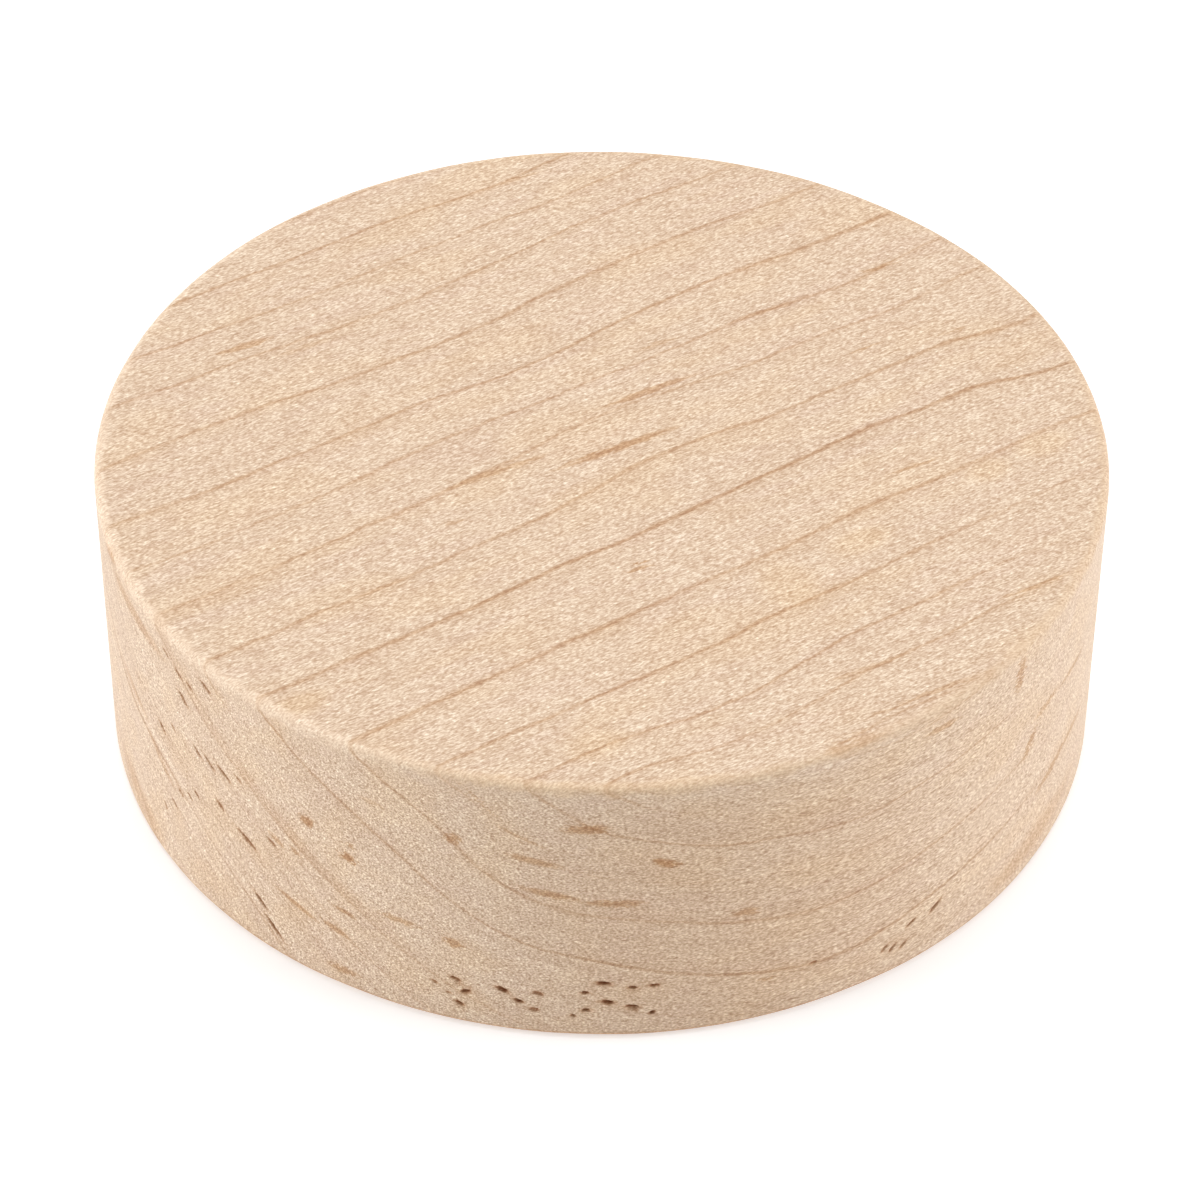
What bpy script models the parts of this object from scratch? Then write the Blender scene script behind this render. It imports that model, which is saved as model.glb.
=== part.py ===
"""Dealer button: a plain disc of hard maple, cut from one planed board.

Metres, +Z up. The origin is the centre of the underside, the flat face the button rests on.
"""
import math

import bmesh
import bpy

# Driving dimensions, in metres
DIAMETER = 0.0635       # 2 1/2 in across
THICKNESS = 0.0206      # 13/16 in, a 4/4 board planed on both faces
EDGE_RADIUS = 0.0006    # sanded round on the top and bottom arrises

# How finely the round surfaces are faceted
TURN_STEPS = 144
EDGE_STEPS = 4

# Bare, unfinished maple
MAPLE_COLOUR = (0.69, 0.51, 0.36, 1.0)
MAPLE_ROUGHNESS = 0.62
MAPLE_METALLIC = 0.0

SMOOTH_ANGLE = math.radians(35)


def clear_scene():
    """Remove whatever the file opened with."""
    for obj in list(bpy.data.objects):
        bpy.data.objects.remove(obj, do_unlink=True)


def maple():
    """The button's one material."""
    material = bpy.data.materials.new("maple")
    material.use_nodes = True
    shader = material.node_tree.nodes["Principled BSDF"]
    shader.inputs["Base Color"].default_value = MAPLE_COLOUR
    shader.inputs["Roughness"].default_value = MAPLE_ROUGHNESS
    shader.inputs["Metallic"].default_value = MAPLE_METALLIC
    return material


def quarter_round(centre_x, centre_z, start_angle):
    """Points of a quarter circle in the XZ plane, turning clockwise from start_angle."""
    points = []
    for step in range(EDGE_STEPS + 1):
        angle = start_angle - math.pi / 2 * step / EDGE_STEPS
        x = centre_x + EDGE_RADIUS * math.cos(angle)
        z = centre_z + EDGE_RADIUS * math.sin(angle)
        points.append((x, 0.0, z))
    return points


def side_profile():
    """The turned outline, from the top flat's rim down to the bottom flat's rim."""
    round_centre = DIAMETER / 2 - EDGE_RADIUS
    top_round = quarter_round(round_centre, THICKNESS - EDGE_RADIUS, math.pi / 2)
    bottom_round = quarter_round(round_centre, EDGE_RADIUS, 0.0)
    return top_round + bottom_round


def button_disc():
    """The solid disc: its outline spun round the axis, closed by two flat faces."""
    bm = bmesh.new()
    corners = [bm.verts.new(point) for point in side_profile()]
    outline = [bm.edges.new(pair) for pair in zip(corners, corners[1:])]
    bmesh.ops.spin(
        bm,
        geom=corners + outline,
        cent=(0, 0, 0),
        axis=(0, 0, 1),
        angle=math.tau,
        steps=TURN_STEPS,
        use_merge=True,
    )
    rims = [edge for edge in bm.edges if edge.is_boundary]
    bmesh.ops.edgeloop_fill(bm, edges=rims)
    bmesh.ops.recalc_face_normals(bm, faces=bm.faces)

    mesh = bpy.data.meshes.new("button_disc")
    bm.to_mesh(mesh)
    bm.free()
    mesh.shade_smooth()
    mesh.set_sharp_from_angle(angle=SMOOTH_ANGLE)
    mesh.materials.append(maple())

    disc = bpy.data.objects.new("button_disc", mesh)
    bpy.context.scene.collection.objects.link(disc)
    return disc


clear_scene()
button_disc()
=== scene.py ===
import math

import bmesh
import bpy
from mathutils import Matrix, Vector, noise


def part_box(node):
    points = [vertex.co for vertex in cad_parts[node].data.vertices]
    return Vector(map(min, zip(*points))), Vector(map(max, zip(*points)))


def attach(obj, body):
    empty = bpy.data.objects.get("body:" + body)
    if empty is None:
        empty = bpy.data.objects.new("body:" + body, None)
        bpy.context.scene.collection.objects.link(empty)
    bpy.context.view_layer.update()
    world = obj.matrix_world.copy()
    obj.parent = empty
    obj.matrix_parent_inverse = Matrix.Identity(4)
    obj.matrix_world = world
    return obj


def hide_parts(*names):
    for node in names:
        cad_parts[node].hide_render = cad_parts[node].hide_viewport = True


# A dealer button: one disc of bare, sanded hard maple. Everything is in metres in the frame,
# and grain distances are in millimetres, as a woodworker would measure them.

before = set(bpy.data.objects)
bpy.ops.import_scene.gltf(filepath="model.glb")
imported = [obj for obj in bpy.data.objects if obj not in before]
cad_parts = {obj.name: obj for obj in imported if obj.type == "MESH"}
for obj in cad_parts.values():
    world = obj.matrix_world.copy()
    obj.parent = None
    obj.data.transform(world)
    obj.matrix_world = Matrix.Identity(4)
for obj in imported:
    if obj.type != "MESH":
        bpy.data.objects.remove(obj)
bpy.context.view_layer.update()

MM = 0.001
disc_low, disc_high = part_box("button_disc")
RADIUS = (disc_high.x - disc_low.x) / 2
THICKNESS = disc_high.z - disc_low.z
MIDDLE = (disc_low + disc_high) / 2
FOOT = THICKNESS / MM           # depth of the underside, in mm


# ---------------------------------------------------------------- camera

CAMERA_HEIGHT_ANGLE = math.radians(40.5)
CAMERA_DISTANCE = 9.06 * RADIUS
CAMERA_TILT = math.radians(0.34)        # the camera leans a little to its left
CAMERA_LENS = 134.4                     # mm, on a 36 mm sensor
AIM_BELOW_MIDDLE = 0.0675 * RADIUS
AIM_LEFT_OF_MIDDLE = 0.002 * RADIUS


def studio_camera():
    """A long lens looking down on the disc from the front."""
    data = bpy.data.cameras.new("studio_camera")
    data.sensor_width = 36
    data.lens = CAMERA_LENS
    data.clip_start = 0.01
    data.clip_end = 20

    back = Vector((0, -math.cos(CAMERA_HEIGHT_ANGLE), math.sin(CAMERA_HEIGHT_ANGLE)))
    place = MIDDLE + back * CAMERA_DISTANCE
    level_up = back.cross(Vector((1, 0, 0)))
    aim = MIDDLE - level_up * AIM_BELOW_MIDDLE - Vector((1, 0, 0)) * AIM_LEFT_OF_MIDDLE
    look = (place - aim).normalized()
    right = Vector((0, 0, 1)).cross(look).normalized()
    up = look.cross(right)
    turn = Matrix((right, up, look)).transposed().to_4x4()

    camera = bpy.data.objects.new("studio_camera", data)
    camera.matrix_world = Matrix.Translation(place) @ turn @ Matrix.Rotation(CAMERA_TILT, 4, "Z")
    bpy.context.scene.collection.objects.link(camera)
    bpy.context.scene.camera = camera


studio_camera()


# ---------------------------------------------------------------- the wood's grain

# Fibres lie flat in the board, turned from +X towards +Y. Grain places are
# (along the fibres, across them towards the front, depth below the top face), in mm.
FIBRE_TURN = math.radians(30)
ALONG = Vector((math.cos(FIBRE_TURN), math.sin(FIBRE_TURN), 0))
ACROSS = Vector((math.sin(FIBRE_TURN), -math.cos(FIBRE_TURN), 0))


def grain_place(point):
    """A point of the frame as a grain place."""
    return Vector((
        point.dot(ALONG) / MM,
        point.dot(ACROSS) / MM,
        (disc_high.z - point.z) / MM,
    ))


def side_point(bearing, depth, radius=RADIUS):
    """A point of the disc's side: bearing in degrees anticlockwise from +X, depth in mm."""
    angle = math.radians(bearing)
    return Vector((
        radius * math.cos(angle),
        radius * math.sin(angle),
        disc_high.z - depth * MM,
    ))


# ---------------------------------------------------------------- pores opened on the side

# Open pores and small tear-outs: bearing, depth below the top, half length, half height,
# slant in degrees (up to the right) and how deep they go. All but the angles are in mm.
PORES = (
    (251.9, 17.4, 0.28, 0.12, -25, 0.10),
    (253.5, 18.1, 0.22, 0.12, -10, 0.08),
    (254.3, 16.8, 0.36, 0.16, -20, 0.20),
    (255.4, 17.7, 0.36, 0.18, 20, 0.28),
    (254.7, 18.8, 0.36, 0.15, -25, 0.28),
    (259.5, 17.0, 0.44, 0.18, -22, 0.32),
    (261.3, 17.8, 0.36, 0.14, -20, 0.32),
    (263.4, 17.0, 0.40, 0.19, -20, 0.13),
    (262.9, 18.4, 0.38, 0.19, 10, 0.12),
    (267.2, 18.7, 0.20, 0.12, 0, 0.16),
    (268.5, 16.7, 0.26, 0.13, 10, 0.26),
    (268.6, 18.2, 0.26, 0.14, 15, 0.28),
    (270.5, 15.9, 0.50, 0.16, -5, 0.36),
    (271.0, 17.5, 0.42, 0.17, -8, 0.36),
    (273.7, 16.3, 0.34, 0.12, -5, 0.24),
    (273.6, 17.9, 0.44, 0.14, -5, 0.32),
    (276.0, 16.2, 0.34, 0.14, 5, 0.18),
    (275.8, 18.5, 0.24, 0.12, 30, 0.26),
    (294.0, 16.8, 0.30, 0.12, 15, 0.07),
    (303.2, 18.0, 0.34, 0.10, 38, 0.22),
    (304.3, 18.3, 0.36, 0.10, 42, 0.22),
    (305.8, 18.5, 0.34, 0.10, 38, 0.22),
    (306.8, 16.9, 0.42, 0.11, 28, 0.24),
    (310.2, 16.7, 0.52, 0.15, 38, 0.30),
    (214.8, 1.8, 0.50, 0.12, -28, 0.07),
    (217.2, 2.5, 0.55, 0.13, -30, 0.08),
    (219.3, 2.7, 0.50, 0.13, -30, 0.07),
    (222.3, 1.6, 0.66, 0.16, -28, 0.10),
    (217.9, 4.3, 0.70, 0.17, -38, 0.14),
    (212.6, 8.8, 0.60, 0.16, -36, 0.08),
    (215.2, 7.7, 0.45, 0.12, -38, 0.06),
    (220.1, 7.8, 0.62, 0.14, -38, 0.10),
    (222.2, 7.9, 0.68, 0.14, -38, 0.10),
    (224.5, 7.8, 0.75, 0.16, -32, 0.12),
    (227.0, 7.4, 0.45, 0.12, -32, 0.06),
    (223.6, 10.8, 0.50, 0.20, -35, 0.12),
    (219.2, 11.6, 0.40, 0.15, -35, 0.09),
    (217.8, 12.4, 0.38, 0.13, -35, 0.08),
    (215.8, 12.9, 0.42, 0.15, -32, 0.10),
    (214.2, 14.5, 0.45, 0.13, -38, 0.06),
    (211.8, 15.7, 0.45, 0.13, -38, 0.06),
    (227.8, 12.1, 0.95, 0.19, -28, 0.14),
    (231.7, 11.0, 0.50, 0.14, -32, 0.07),
    (229.4, 16.7, 0.75, 0.15, -42, 0.20),
    (231.2, 18.3, 1.05, 0.14, -45, 0.18),
)
PORE_RAGGEDNESS = 0.22          # how far the rim wanders, as a share of the pore's size
RAGGED_TURNS = 4200             # how often it wanders, in turns to the metre
RUBBED_SPREAD = 1.9             # how far round a pore dirt is rubbed in, in pore sizes
SHALLOW_DIRT = 0.6              # how dirty the shallowest pore is
DEEP_DIRT = 2.0                 # how much dirtier each mm of depth makes it
RIM_DIRT = 1.5                  # dirt rubbed into the wood round a pore, for each mm of its depth
STRAIGHT_IN = 0.85              # how much a pore leads straight in
FIBRE_IN = 0.4                  # how much it leads along the fibres
OWN_STRETCH = 2 * MM            # a point further in or out than this is elsewhere on the disc


class Pore:
    """One opened pore, as a slanted hollow in the disc's side."""

    def __init__(self, bearing, depth, half_length, half_height, slant, hollow):
        self.centre = side_point(bearing, depth)
        angle = math.radians(bearing)
        self.outward = Vector((math.cos(angle), math.sin(angle), 0))
        level = Vector((-math.sin(angle), math.cos(angle), 0))
        lean = math.radians(slant)
        self.length_way = level * math.cos(lean) + Vector((0, 0, 1)) * math.sin(lean)
        self.height_way = Vector((0, 0, 1)) * math.cos(lean) - level * math.sin(lean)
        self.half_length = half_length * MM
        self.half_height = half_height * MM
        self.hollow = hollow * MM

    def reaches(self, point, margin=1.0):
        """Whether a point lies within the pore, its size scaled by margin."""
        offset = point - self.centre
        if abs(offset.dot(self.outward)) > OWN_STRETCH:
            return False
        a = offset.dot(self.length_way) / (self.half_length * margin)
        b = offset.dot(self.height_way) / (self.half_height * margin)
        return a * a + b * b < 1

    def openness(self, point, spread=1.0):
        """1 in the middle of the pore, 0 at its ragged rim and beyond."""
        offset = point - self.centre
        if abs(offset.dot(self.outward)) > OWN_STRETCH:
            return 0.0
        ragged = PORE_RAGGEDNESS * noise.noise(point * RAGGED_TURNS)
        a = offset.dot(self.length_way) / self.half_length
        b = offset.dot(self.height_way) / self.half_height
        reach = math.sqrt(a * a + b * b) / spread + ragged
        fall = min(max((1.05 - reach) / 0.65, 0.0), 1.0)
        return fall * fall * (3 - 2 * fall)


# ---------------------------------------------------------------- the disc

EDGE_ROUND = 0.55 * MM          # how far sanding has rounded the arrises, on average
EDGE_WANDER = 0.12 * MM         # how much that varies round the disc
TURN_STEPS = 400
EDGE_STEPS = 8
SIDE_ROWS = 38
FACE_RINGS = (0.0, 0.15, 0.35, 0.55, 0.75, 0.90, 0.965)
FLAT_MARGIN = 0.3 * MM          # how far inside the arris the flat's last ring lies
PORE_MARGIN = 2.2               # how far round a pore the surface is refined, in pore sizes
PORE_CUTS = 2                   # how often each refining splits an edge
WALL = RADIUS * 0.99            # points further out than this are on the side or its arrises


def disc_outline():
    """The turned outline, from the middle of the top down to the middle of the underside."""
    flat = RADIUS - EDGE_ROUND
    top, bottom = disc_high.z, disc_low.z
    points = [(share * RADIUS, top) for share in FACE_RINGS]
    points.append((flat - FLAT_MARGIN, top))
    for step in range(EDGE_STEPS + 1):
        angle = math.pi / 2 * step / EDGE_STEPS
        points.append((flat + EDGE_ROUND * math.sin(angle), top - EDGE_ROUND * (1 - math.cos(angle))))
    wall = THICKNESS - 2 * EDGE_ROUND
    for row in range(1, SIDE_ROWS):
        points.append((RADIUS, top - EDGE_ROUND - wall * row / SIDE_ROWS))
    for step in range(EDGE_STEPS + 1):
        angle = math.pi / 2 * step / EDGE_STEPS
        points.append((flat + EDGE_ROUND * math.cos(angle), bottom + EDGE_ROUND * (1 - math.sin(angle))))
    points.append((flat - FLAT_MARGIN, bottom))
    points.extend((share * RADIUS, bottom) for share in reversed(FACE_RINGS))
    return [Vector((x, 0, z)) for x, z in points]


def refine_near_pores(bm, pores):
    """Split the side's faces round the pores, so that each pore has enough points to be cut."""
    near = set()
    for face in bm.faces:
        middle = face.calc_center_median()
        if any(pore.reaches(middle, PORE_MARGIN) for pore in pores):
            near.update(face.edges)
    in_order = [edge for edge in bm.edges if edge in near]
    bmesh.ops.subdivide_edges(bm, edges=in_order, cuts=PORE_CUTS, use_grid_fill=True)


def keep_round(bm):
    """Put new points of the wall back on the true round."""
    for vert in bm.verts:
        out = math.hypot(vert.co.x, vert.co.y)
        on_wall = disc_low.z + EDGE_ROUND - 1e-6 < vert.co.z < disc_high.z - EDGE_ROUND + 1e-6
        if on_wall and out > WALL:
            vert.co.x *= RADIUS / out
            vert.co.y *= RADIUS / out


def sand_edges(bm):
    """Let the rounding of both arrises wander, as sandpaper leaves it."""
    for vert in bm.verts:
        out = math.hypot(vert.co.x, vert.co.y)
        upper = vert.co.z > MIDDLE.z
        corner_z = disc_high.z - EDGE_ROUND if upper else disc_low.z + EDGE_ROUND
        rise = vert.co.z - corner_z if upper else corner_z - vert.co.z
        run = out - (RADIUS - EDGE_ROUND)
        if rise < -1e-7 or run < -1e-7:
            continue
        bearing = math.atan2(vert.co.y, vert.co.x)
        ring = Vector((math.cos(bearing), math.sin(bearing), 3.0 if upper else 7.0))
        wander = noise.noise(ring * 2.1) + 0.6 * noise.noise(ring * 7.3)
        new_round = EDGE_ROUND + EDGE_WANDER * wander
        scale = new_round / EDGE_ROUND
        new_out = RADIUS - new_round + run * scale
        new_rise = rise * scale - new_round
        vert.co.x = new_out * math.cos(bearing)
        vert.co.y = new_out * math.sin(bearing)
        vert.co.z = disc_high.z + new_rise if upper else disc_low.z - new_rise


def open_pores(bm, pores):
    """Push the pores' points into the wood, along the fibres as well as straight in."""
    layer = bm.verts.layers.float.new("pore")
    for vert in bm.verts:
        if math.hypot(vert.co.x, vert.co.y) < WALL:
            continue
        start = vert.co.copy()
        for pore in pores:
            rubbed = pore.openness(start, RUBBED_SPREAD)
            if rubbed <= 0:
                continue
            openness = pore.openness(start)
            depth = pore.hollow / MM
            inward = -pore.outward
            fibre_in = ALONG if ALONG.dot(inward) > 0 else -ALONG
            way = (inward * STRAIGHT_IN + fibre_in * FIBRE_IN).normalized()
            vert.co = start + way * pore.hollow * openness
            dirt = openness * (SHALLOW_DIRT + DEEP_DIRT * depth) + rubbed * RIM_DIRT * depth
            vert[layer] = max(vert[layer], dirt)


def maple_disc():
    """The button itself."""
    bm = bmesh.new()
    points = [bm.verts.new(point) for point in disc_outline()]
    edges = [bm.edges.new(pair) for pair in zip(points, points[1:])]
    bmesh.ops.spin(
        bm, geom=points + edges, cent=(0, 0, 0), axis=(0, 0, 1),
        angle=math.tau, steps=TURN_STEPS, use_merge=True,
    )
    bmesh.ops.remove_doubles(bm, verts=bm.verts, dist=1e-7)
    bmesh.ops.recalc_face_normals(bm, faces=bm.faces)
    pores = [Pore(*values) for values in PORES]
    refine_near_pores(bm, pores)
    refine_near_pores(bm, pores)
    keep_round(bm)
    sand_edges(bm)
    open_pores(bm, pores)

    mesh = bpy.data.meshes.new("maple_disc")
    bm.to_mesh(mesh)
    bm.free()
    mesh.shade_smooth()
    disc = bpy.data.objects.new("maple_disc", mesh)
    bpy.context.scene.collection.objects.link(disc)
    return disc


# ---------------------------------------------------------------- shader maths

class Level:
    """A value in a finish. It adds, subtracts, multiplies and divides as a number does."""

    def __init__(self, finish, socket):
        self.finish = finish
        self.socket = socket

    def maths(self, operation, *terms):
        return self.finish.node("ShaderNodeMath", {"operation": operation}, dict(enumerate(terms)))

    def __add__(self, other):
        return self.maths("ADD", self, other)

    def __radd__(self, other):
        return self.maths("ADD", other, self)

    def __sub__(self, other):
        return self.maths("SUBTRACT", self, other)

    def __rsub__(self, other):
        return self.maths("SUBTRACT", other, self)

    def __mul__(self, other):
        return self.maths("MULTIPLY", self, other)

    def __rmul__(self, other):
        return self.maths("MULTIPLY", other, self)

    def __truediv__(self, other):
        return self.maths("DIVIDE", self, other)

    def __abs__(self):
        return self.maths("ABSOLUTE", self)


class Finish:
    """One material, built up node by node."""

    def __init__(self, name):
        self.material = bpy.data.materials.new(name)
        self.material.use_nodes = True
        self.tree = self.material.node_tree
        self.tree.nodes.clear()

    def node(self, kind, settings=None, values=None, out=0):
        """Add a node, set it up, fill or link its sockets and return one of its outputs."""
        made = self.tree.nodes.new(kind)
        for name, value in (settings or {}).items():
            if name == "curve":
                self.draw_curve(made, value)
            else:
                setattr(made, name, value)
        for name, value in (values or {}).items():
            if isinstance(value, Level):
                self.tree.links.new(value.socket, made.inputs[name])
            else:
                made.inputs[name].default_value = value
        return Level(self, made.outputs[out]) if made.outputs else None

    def draw_curve(self, made, points):
        """Straight runs through the points, from 0 to 1 each way."""
        line = made.mapping.curves[0]
        while len(line.points) < len(points):
            line.points.new(0.5, 0.5)
        for place, (x, y) in zip(line.points, points):
            place.location = (x, y)
            place.handle_type = "VECTOR"
        made.mapping.update()

    def slope(self, value, start, end, low=0.0, high=1.0, kind="SMOOTHSTEP"):
        """low up to start, high from end on, and a smooth slope between."""
        return self.node(
            "ShaderNodeMapRange",
            {"interpolation_type": kind},
            {"Value": value, "From Min": start, "From Max": end, "To Min": low, "To Max": high},
        )

    def tint(self, factor, first, second, how="MIX"):
        """Two colours mixed."""
        return self.node(
            "ShaderNodeMix", {"data_type": "RGBA", "blend_type": how},
            {0: factor, 6: first, 7: second}, out=2,
        )

    def cloud(self, vector, sizes, shift=(0.0, 0.0, 0.0), detail=1.0, rough=0.5):
        """Soft noise about 0, its blotches as large as sizes. A shift makes it unlike the others."""
        scaled = self.node(
            "ShaderNodeVectorMath", {"operation": "MULTIPLY_ADD"},
            {0: vector, 1: tuple(1 / size for size in sizes), 2: shift},
        )
        return self.node(
            "ShaderNodeTexNoise", {},
            {"Vector": scaled, "Scale": 1.0, "Detail": detail, "Roughness": rough},
        ) - 0.5

    def apart(self, vector, centre):
        """How far a place is from a centre."""
        return self.node(
            "ShaderNodeVectorMath", {"operation": "DISTANCE"}, {0: vector, 1: centre}, out="Value",
        )

    def spot(self, vector, centre, halves, strength, turn=(0.0, 0.0, 0.0)):
        """A soft-edged oval spot: its centre, half sizes each way, strength and turn."""
        inside = self.node(
            "ShaderNodeMapping", {"vector_type": "TEXTURE"},
            {"Vector": vector, "Location": centre, "Rotation": turn, "Scale": halves},
        )
        away = self.node("ShaderNodeVectorMath", {"operation": "LENGTH"}, {0: inside}, out="Value")
        return self.slope(away, 0.4, 1.25, strength, 0.0)


# ---------------------------------------------------------------- maple

# Growth rings in order across the board: width in mm, how dark the line that ends the ring
# is on the top and bottom faces, and how dark on the side
FIRST_RING = -62.0
RINGS = (
    (4.6, 0.9, 0.7), (3.9, 0.8, 0.4), (5.2, 1.1, 0.8), (4.4, 0.8, 0.5), (3.6, 0.9, 0.7),
    (5.0, 1.0, 0.6), (4.1, 0.8, 0.5), (3.9, 1.0, 0.5), (3.8, 0.8, 0.4), (3.7, 0.8, 0.5),
    (5.0, 0.9, 0.6), (5.3, 1.1, 0.2), (4.2, 0.8, 0.45), (4.0, 0.7, 0.5), (5.3, 0.9, 0.2),
    (4.6, 1.25, 0.9), (6.1, 1.1, 0.75), (4.8, 1.1, 0.2), (4.1, 1.0, 0.75), (3.0, 0.8, 0.05),
    (4.1, 0.6, 0.1), (4.4, 0.9, 0.6), (5.0, 0.9, 0.6),
)
RING_LEAN = 1.37                # how far a ring moves across for each mm of depth
RING_TWIST = 0.006              # how that grows along the fibres, per mm
RING_DRIFT = 0.077              # how far the rings wander across for each mm along
RING_LINE = 0.24                # half the width of the line that ends a ring, in mm, where it has faded out
LINE_STRENGTH = 1.35            # how dark that line is
SHOULDER_STRENGTH = 0.2         # how dark the soft wood beside it is
SIDE_LINES = 1.15               # multiplies how dark every ring's line is on the side

# Swirls that push the rings aside: grain place, reach and push, in mm
SWIRLS = (
    (-5, -16, 0, 14, -0.65),
    (2, -9, 0, 10, -0.2),
    (14, -14, 0, 14, 0.4),
    (-8, -5, 0, 10, 0.5),
    (22, -6, 0, 9, -0.6),
    (2, 0, 0, 11, 1.0),
    (-18, 5, 0, 12, -0.25),
    (13, 8, 0, 14, 0.35),
    (30, 6, 0, 8, -1.5),
    (-5, 26, 0, 10, -0.8),
    (14, 26, 0, 10, 0.3),
    (8, -28, 0, 10, -0.4),
    (-25, -15, 0, 12, 0.45),
    (-28, -3, 0, 10, -0.25),
    (-19, 25, 8, 10, 2.3),
    (-13, 29, 5, 10, 1.1),
    (8, 30, 12, 14, -1.8),
    (-28, 8, 16, 14, -1.8),
    (-31, -6, 8, 12, 2.8),
)

# Clear wood, where the ring lines fade: bearing, depth and reach in mm, and what is left of the lines
CLEARINGS = (
    (203, 13, 19, 0.4),
    (345, 9, 17, 0.1),
)

# Bands of brown late wood on the side: ring place, half width in mm, strength, and where
# the band lies, as a bearing, a depth and a reach in mm
BROWN_BANDS = (
    (-0.7, 1.0, 0.55, 229, 6.5, 15),
    (-14.8, 0.4, 1.1, 204, 9.0, 10),
)

# Mineral streaks on the top face: along, across, half length and half width in mm, and strength
TOP_STREAKS = (
    (0.5, 1.0, 4.4, 0.36, 2.0),
    (5.2, -3.0, 3.6, 0.32, 1.6),
    (-7.2, -0.65, 4.0, 0.28, 1.2),
    (-15.2, -19.8, 2.0, 0.32, 1.6),
    (25.0, -6.9, 1.4, 0.24, 1.4),
    (15.8, -6.5, 2.4, 0.24, 0.9),
    (8.2, -6.9, 1.5, 0.26, 0.8),
    (15.7, 11.65, 1.8, 0.18, 1.2),
    (-4.2, 11.75, 0.9, 0.18, 1.6),
    (19.5, 0.0, 1.2, 0.2, 1.4),
    (25.5, 1.25, 1.0, 0.16, 0.9),
    (-12.0, 2.35, 0.8, 0.15, 0.8),
    (9.0, -27.3, 1.8, 0.18, 0.7),
    (-11.7, -17.8, 2.2, 0.3, 0.6),
    (3.2, 26.2, 2.6, 0.22, 0.7),
    (16.0, 24.9, 2.6, 0.2, 1.2),
    (4.7, 29.9, 4.5, 0.2, 1.0),
    (-3.8, 11.3, 0.5, 0.1, 2.4),
    (-8.9, 12.0, 0.3, 0.12, 1.6),
)

# Stains on the side, and two broad patches of painted shade low on it: bearing, depth, half length and half
# height in mm, slant, and strength
SIDE_STAINS_AND_SHADE = (
    (268.6, 3.2, 1.50, 0.42, 4, 2.2),
    (277.0, 6.1, 0.85, 0.36, -20, 2.8),
    (254.3, 5.1, 0.60, 0.50, 10, 2.0),
    (236.9, 7.6, 0.65, 0.45, -15, 2.8),
    (263.2, 6.0, 1.70, 0.28, -12, 1.7),
    (264.8, 8.6, 1.90, 0.30, -12, 1.9),
    (271.7, 9.2, 1.90, 0.30, 0, 2.0),
    (285.8, 11.0, 0.90, 0.30, 4, 1.7),
    (245.0, 3.9, 0.90, 0.26, -12, 0.8),
    (242.3, 8.1, 0.35, 0.24, -20, 1.8),
    (242.0, 9.2, 0.60, 0.38, -25, 3.0),
    (232.4, 10.5, 0.70, 0.26, -30, 1.6),
    (235.0, 10.7, 0.35, 0.24, -20, 1.7),
    (248.0, 13.0, 1.40, 0.28, -4, 1.9),
    (254.1, 13.8, 0.65, 0.42, -10, 2.2),
    (241.2, 13.9, 0.90, 0.22, -12, 1.9),
    (234.8, 15.2, 1.70, 0.24, -20, 1.9),
    (239.9, 15.7, 1.00, 0.28, -20, 2.0),
    (240.8, 19.0, 1.20, 0.34, 0, 1.7),
    (257.5, 1.8, 1.90, 0.13, -45, 1.0),
    (261.8, 4.2, 1.80, 0.13, -28, 1.0),
    (288.6, 17.1, 0.40, 0.24, 10, 1.3),
    (207.0, 1.9, 4.60, 0.60, -9, 1.2),
    (199.5, 0.6, 1.20, 0.40, 0, 1.6),
    (205.0, 9.0, 2.60, 0.36, -24, 1.2),
    (211.6, 12.0, 2.20, 0.30, -36, 1.1),
    # The next two are painted shade: broad darkening low on the side near its left and right outlines.
    (203.5, 18.6, 4.50, 1.30, -14, 0.8),
    (330.0, 18.3, 6.50, 1.20, 6, 0.7),
    (309.6, 1.6, 1.30, 0.26, 0, 1.6),
    (298.5, 0.1, 2.20, 0.20, 0, 0.8),
    (322.3, 2.0, 1.50, 0.36, 80, 1.8),
    (325.6, 9.0, 1.30, 0.36, 60, 2.0),
    (329.3, 7.1, 1.80, 0.28, 8, 1.5),
    (336.5, 7.3, 2.60, 0.26, -2, 1.3),
    (332.0, 13.8, 2.40, 0.38, 14, 1.6),
    (339.0, 13.3, 2.40, 0.32, 0, 1.3),
)

# Painted shade: the side is painted browner round the front, where it faces away from the soft boxes:
# bearing and depth of its middle, and how brown it is painted there
SHADE_PATCH_BEARING = 286
SHADE_PATCH_DEPTH = 10
SHADE_PATCH_STRENGTH = 0.34

# Honey-coloured patches of the top face: along, across, half length and half width in mm
HONEY_PATCHES = (
    (24.0, 13.8, 2.2, 1.3),
    (19.5, 14.2, 1.8, 1.2),
    (9.0, 16.2, 2.4, 1.2),
    (3.0, 17.3, 2.0, 2.4),
    (-27.6, 12.6, 2.0, 1.2),
    (-14.2, 24.2, 2.2, 1.4),
)
HONEY_PATCH_DEPTH = 2.0         # how deep they reach, in mm
HONEY_PATCH_STRENGTH = 0.8

SAPWOOD = (0.709, 0.531, 0.384, 1.0)
HONEY_SAPWOOD = (0.722, 0.524, 0.350, 1.0)
ROSY_SAPWOOD = (0.700, 0.516, 0.386, 1.0)
# The next colour is a painted highlight, put along the top arris.
PAINTED_ARRIS_HIGHLIGHT = (0.870, 0.680, 0.510, 1.0)
HONEY_ARRIS = (0.750, 0.545, 0.360, 1.0)

# What one measure of each of these leaves of the wood's colour
STAIN = (0.865, 0.788, 0.718, 1.0)
# The next colour darkens both the mineral marks and the painted shade.
BROWN_MARK_AND_SHADE = (0.875, 0.785, 0.690, 1.0)
FIBRE_SHADE = (0.860, 0.805, 0.765, 1.0)
PORE_DIRT = (0.600, 0.420, 0.300, 1.0)


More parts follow.
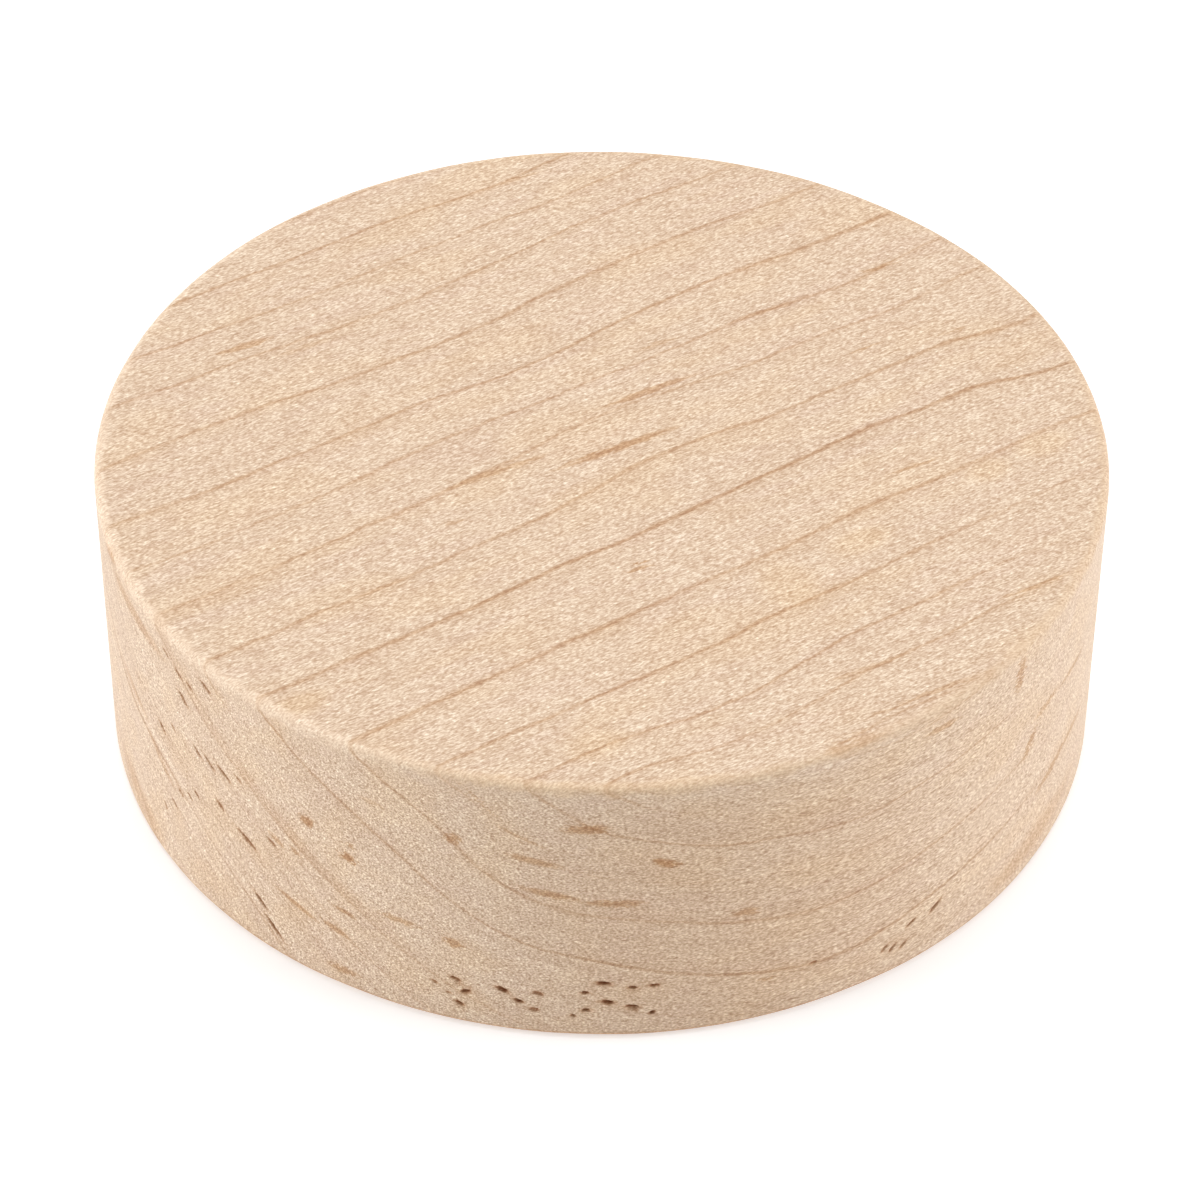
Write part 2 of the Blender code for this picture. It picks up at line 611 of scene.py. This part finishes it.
def ring_place(wood, grain, along, across, depth):
    """How far a place is through the rings, in mm: the same all over one ring's surface."""
    place = across + along * RING_DRIFT - depth * (along * RING_TWIST + RING_LEAN)
    for swirl_along, swirl_across, swirl_depth, reach, push in SWIRLS:
        away = wood.apart(grain, (swirl_along, swirl_across, swirl_depth))
        place = place + wood.slope(away, 0.0, reach, push, 0.0, "SMOOTHERSTEP")
    wander = wood.cloud(grain, (7, 4, 4)) * 0.7
    ragged = wood.cloud(grain, (1.3, 0.5, 0.5), (3.3, 7.1, 0.4)) * 0.22
    return place + wander + ragged


def on_side(wood, depth):
    """0 on the top and bottom faces, 1 on the side."""
    return wood.slope(depth, 0.4, 2.6) * wood.slope(depth, FOOT - 0.8, FOOT - 0.1, 1.0, 0.0)


def ring_stain(wood, grain, place, side, arris):
    """The thin dark line that ends each ring, with a soft shoulder on one side of it."""
    count = len(RINGS)
    span = sum(ring[0] for ring in RINGS)
    share = (place - FIRST_RING) / span
    reached = 0.0
    bends, face_marks, side_marks = [(0.0, 0.0)], [(0.0, 0.9)], [(0.0, 0.5)]
    for number, (width, face_line, side_line) in enumerate(RINGS, start=1):
        reached += width
        bends.append((reached / span, number / count))
        face_marks.append((number / count, face_line / 2))
        side_marks.append((number / count, side_line / 2))
    rings = wood.node("ShaderNodeFloatCurve", {"curve": bends}, {"Value": share}) * count
    nearest = rings.maths("ROUND", rings)
    faces = wood.node("ShaderNodeFloatCurve", {"curve": face_marks}, {"Value": nearest / count})
    sides = wood.node("ShaderNodeFloatCurve", {"curve": side_marks}, {"Value": nearest / count})
    strength = (faces + (sides * SIDE_LINES - faces) * side) * 2 * (1 - arris * 0.5)
    for bearing, clear_depth, reach, left in CLEARINGS:
        centre = grain_place(side_point(bearing, clear_depth))
        strength = strength * wood.slope(wood.apart(grain, centre), reach * 0.4, reach, left, 1.0)

    width = span / count
    after = rings.maths("FRACT", rings) * width
    away = after.maths("MINIMUM", after, width - after)
    line = wood.slope(away, 0.0, RING_LINE, LINE_STRENGTH, 0.0)
    shoulder = wood.slope(after, 0.1, 1.1, SHOULDER_STRENGTH, 0.0)
    uneven = wood.cloud(grain, (4.5, 2.5, 2.5), (3.1, 8.7, 1.3)) * 1.4 + 1.0
    broken = wood.cloud(grain, (1.1, 0.4, 0.4), (0.7, 5.2, 3.8)) + 1.0
    return (line * broken + shoulder) * strength * uneven


def brown_bands(wood, grain, place):
    """Soft bands of brown late wood that show only on the side."""
    stain = 0.0
    for ring, half_width, strength, bearing, depth, reach in BROWN_BANDS:
        centre = grain_place(side_point(bearing, depth))
        across = wood.slope(abs(place - ring), half_width * 0.3, half_width * 1.2, strength, 0.0)
        stain = across * wood.slope(wood.apart(grain, centre), reach * 0.5, reach, 1.0, 0.0) + stain
    return stain


def marks(wood, grain, along, across, depth):
    """The mineral streaks and stains, and two patches of painted shade, their outlines broken up by the
    fibres.
    """
    ragged = wood.cloud(grain, (1.0, 0.22, 0.22), (7.7, 2.1, 5.9), detail=2.5, rough=0.6)
    shifted = wood.node(
        "ShaderNodeCombineXYZ", {},
        {"X": along + ragged * 2.8, "Y": across + ragged * 0.8, "Z": depth + ragged * 0.8},
    )
    stain = 0.0
    for streak_along, streak_across, half_length, half_width, strength in TOP_STREAKS:
        stain = wood.spot(
            shifted, (streak_along, streak_across, 0.0), (half_length, half_width, 1.5), strength,
        ) + stain
    for bearing, stain_depth, half_length, half_height, slant, strength in SIDE_STAINS_AND_SHADE:
        centre = grain_place(side_point(bearing, stain_depth))
        turn = (0.0, math.radians(slant), FIBRE_TURN - math.radians(bearing) - math.pi / 2)
        stain = wood.spot(shifted, centre, (half_length, 1.5, half_height), strength, turn) + stain
    return stain


def fibre_stain(wood, grain, along, depth, place, side, arris):
    """The fibres themselves: long faint streaks, sparse dark dashes and a fine tooth."""
    end_grain = wood.slope(along, -29.5, -21.0, 1.0, 0.0) * side
    streaks = wood.node("ShaderNodeCombineXYZ", {}, {"X": along / 12, "Y": place / 0.45, "Z": depth / 8})
    long_streaks = wood.cloud(streaks, (1, 1, 1), detail=1.5) * (end_grain * 1.1 + side * 0.7 + 0.7)
    cloudy = wood.cloud(grain, (6.0, 1.6, 1.6), (4.1, 0.2, 7.6)) * 0.4
    dashes = wood.cloud(grain, (2.0, 0.17, 0.17), (1.7, 4.2, 9.1))
    dark_dashes = wood.slope(dashes, 0.04, 0.26) * (side * 0.7 + 0.6)
    late = wood.node("ShaderNodeCombineXYZ", {}, {"X": along / 2.5, "Y": place / 0.2, "Z": depth / 0.9})
    late_dashes = wood.slope(wood.cloud(late, (1, 1, 1), (6.1, 2.2, 0.9)), 0.1, 0.3) * end_grain * 1.3
    tooth = wood.cloud(grain, (0.27, 0.10, 0.10), (5.1, 0.4, 2.6), rough=0.5)
    coarse = wood.slope(along, -27.0, -12.0, 1.0, 0.0) * side
    tooth = tooth * (coarse * 2.4 + 7.8) * (1 - arris * 0.35)
    return long_streaks + cloudy + dashes * 0.6 + dark_dashes + late_dashes + tooth


def arrises(wood, places, grain):
    """1 along the sanded top edge and 0 elsewhere, and how far to the right a place is."""
    x, y, z = (wood.node("ShaderNodeSeparateXYZ", {}, {0: places}, out=way) for way in range(3))
    flat = wood.node("ShaderNodeCombineXYZ", {}, {"X": x, "Y": y})
    out = wood.apart(flat, (0.0, 0.0, 0.0))
    uneven = wood.cloud(grain, (2.5, 0.8, 0.8), (9.4, 1.5, 6.3)) * 0.9 * MM
    rim = wood.slope(out + uneven, RADIUS - 0.85 * MM, RADIUS - 0.3 * MM)
    level = wood.slope(z + uneven, disc_high.z - 0.8 * MM, disc_high.z - 0.25 * MM)
    return rim * level, x


def maple_finish():
    """Bare sanded hard maple. Its figure runs right through the disc."""
    wood = Finish("maple")
    places = wood.node("ShaderNodeTexCoord", out="Object")
    grain = wood.node(
        "ShaderNodeMapping", {"vector_type": "POINT"},
        {
            "Vector": places,
            "Location": (0, 0, disc_high.z / MM),
            "Rotation": (0, 0, FIBRE_TURN),
            "Scale": (1 / MM, -1 / MM, -1 / MM),
        },
    )
    along, across, depth = (wood.node("ShaderNodeSeparateXYZ", {}, {0: grain}, out=way) for way in range(3))

    place = ring_place(wood, grain, along, across, depth)
    side = on_side(wood, depth)
    arris, right = arrises(wood, places, grain)
    stain = ring_stain(wood, grain, place, side, arris) + brown_bands(wood, grain, place)
    # Painted shade: the lowest part of the side and its lower arris are painted darker, where the disc sits
    # on the floor.
    painted_foot_shade = wood.slope(depth, FOOT - 0.6, FOOT - 0.2, 0.0, 2.0)
    shade_patch_distance = wood.apart(grain, grain_place(side_point(SHADE_PATCH_BEARING, SHADE_PATCH_DEPTH)))
    # This brown measure carries the streaks and stains together with painted shade at the foot and on the
    # front.
    marks_and_shade = marks(wood, grain, along, across, depth) + painted_foot_shade
    # Painted shade: the front of the side is painted browner, fading out 6 to 16 mm from its middle.
    marks_and_shade = marks_and_shade + wood.slope(shade_patch_distance, 6, 16, SHADE_PATCH_STRENGTH, 0.0) * side
    fibres = fibre_stain(wood, grain, along, depth, place, side, arris)

    honey = wood.slope(wood.cloud(grain, (9, 3, 3), (2.2, 6.3, 4.4)), -0.05, 0.2, 0.0, 0.5)
    for patch_along, patch_across, half_length, half_width in HONEY_PATCHES:
        honey = honey + wood.spot(
            grain, (patch_along, patch_across, 0.0),
            (half_length, half_width, HONEY_PATCH_DEPTH), HONEY_PATCH_STRENGTH,
        )
    rosy = wood.slope(wood.cloud(grain, (7, 1.2, 1.2), (6.6, 1.9, 8.8)), -0.02, 0.2, 0.0, 0.5)
    bare = wood.tint(rosy, SAPWOOD, ROSY_SAPWOOD)
    bare = wood.tint(honey, bare, HONEY_SAPWOOD)
    # Painted highlight: the top arris is painted paler on the left, honey-coloured from the middle to the
    # right, and fainter towards the right.
    highlight_and_honey_arris = wood.tint(wood.slope(right, -RADIUS * 0.55, -RADIUS * 0.1), PAINTED_ARRIS_HIGHLIGHT, HONEY_ARRIS)
    bare = wood.tint(arris * wood.slope(right, 0, RADIUS * 0.6, 0.8, 0.4), bare, highlight_and_honey_arris)

    dirt = wood.node("ShaderNodeAttribute", {"attribute_name": "pore"}, out="Fac")
    coloured = bare
    for shade, measures in ((STAIN, stain), (BROWN_MARK_AND_SHADE, marks_and_shade), (FIBRE_SHADE, fibres), (PORE_DIRT, dirt)):
        darkened = wood.node("ShaderNodeGamma", {}, {"Color": shade, "Gamma": measures})
        coloured = wood.tint(1.0, coloured, darkened, "MULTIPLY")

    fine = wood.cloud(grain, (0.6, 0.18, 0.18), (8.8, 3.3, 0.2))
    relief = wood.node(
        "ShaderNodeBump", {}, {"Strength": 0.5, "Distance": 0.03 * MM, "Height": fine},
    )
    surface = wood.node(
        "ShaderNodeBsdfPrincipled", {},
        {
            "Base Color": coloured,
            "Roughness": fine * 0.3 + 0.62,
            "Normal": relief,
            "IOR": 1.35,
            "Sheen Weight": 0.09,
            "Sheen Roughness": 0.4,
        },
    )
    wood.node("ShaderNodeOutputMaterial", {}, {"Surface": surface})
    return wood.material


# ---------------------------------------------------------------- studio

FLOOR_REACH = 2.5               # metres
FLOOR_GAP = 0.02 * MM           # keeps the paper clear of the disc's underside
PAPER_WHITE = (0.70, 0.70, 0.70, 1.0)
PAPER_GLOW = 0.50               # the light that comes through the paper
ROOM_LIGHT = 0.14               # the even light from all round


def paper_finish():
    """White studio paper on a light table, with a faint tooth."""
    paper = Finish("studio_paper")
    places = paper.node("ShaderNodeTexCoord", out="Object")
    tooth = paper.cloud(places, (0.002, 0.002, 0.002))
    surface = paper.node(
        "ShaderNodeBsdfPrincipled", {},
        {
            "Base Color": PAPER_WHITE,
            "Roughness": tooth * 0.1 + 0.9,
            "Specular IOR Level": 0.1,
            "Emission Color": (1.0, 1.0, 1.0, 1.0),
            "Emission Strength": PAPER_GLOW,
        },
    )
    paper.node("ShaderNodeOutputMaterial", {}, {"Surface": surface})
    return paper.material


def studio_floor():
    """A wide pale sheet under the disc."""
    bm = bmesh.new()
    bmesh.ops.create_circle(bm, cap_ends=True, segments=64, radius=FLOOR_REACH)
    bmesh.ops.translate(bm, verts=bm.verts, vec=(0, 0, disc_low.z - FLOOR_GAP))
    mesh = bpy.data.meshes.new("studio_floor")
    bm.to_mesh(mesh)
    bm.free()
    mesh.materials.append(paper_finish())
    floor = bpy.data.objects.new("studio_floor", mesh)
    bpy.context.scene.collection.objects.link(floor)


def softbox(name, bearing, height_angle, size, power):
    """A square soft light, a metre away, that faces the disc."""
    light = bpy.data.lights.new(name, "AREA")
    light.shape = "SQUARE"
    light.size = size
    light.energy = power
    flat = math.radians(bearing)
    rise = math.radians(height_angle)
    way = Vector((math.cos(flat) * math.cos(rise), math.sin(flat) * math.cos(rise), math.sin(rise)))
    lamp = bpy.data.objects.new(name, light)
    lamp.matrix_world = Matrix.Translation(MIDDLE + way) @ way.to_track_quat("Z", "Y").to_matrix().to_4x4()
    bpy.context.scene.collection.objects.link(lamp)


def studio_light():
    """Even daylight from all round, with soft boxes left, right and above."""
    world = bpy.data.worlds.new("studio")
    world.use_nodes = True
    world.node_tree.nodes["Background"].inputs["Color"].default_value = (1, 1, 1, 1)
    world.node_tree.nodes["Background"].inputs["Strength"].default_value = ROOM_LIGHT
    bpy.context.scene.world = world
    softbox("left_softbox", 188, 20, 0.6, 5.6)
    softbox("right_softbox", 355, 20, 0.6, 5.6)
    softbox("top_softbox", 90, 80, 0.7, 7.8)


# ---------------------------------------------------------------- putting it together

button = maple_disc()
button.data.materials.append(maple_finish())
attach(button, "root")
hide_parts("button_disc")

studio_floor()
studio_light()
bpy.context.scene.view_settings.view_transform = "Standard"
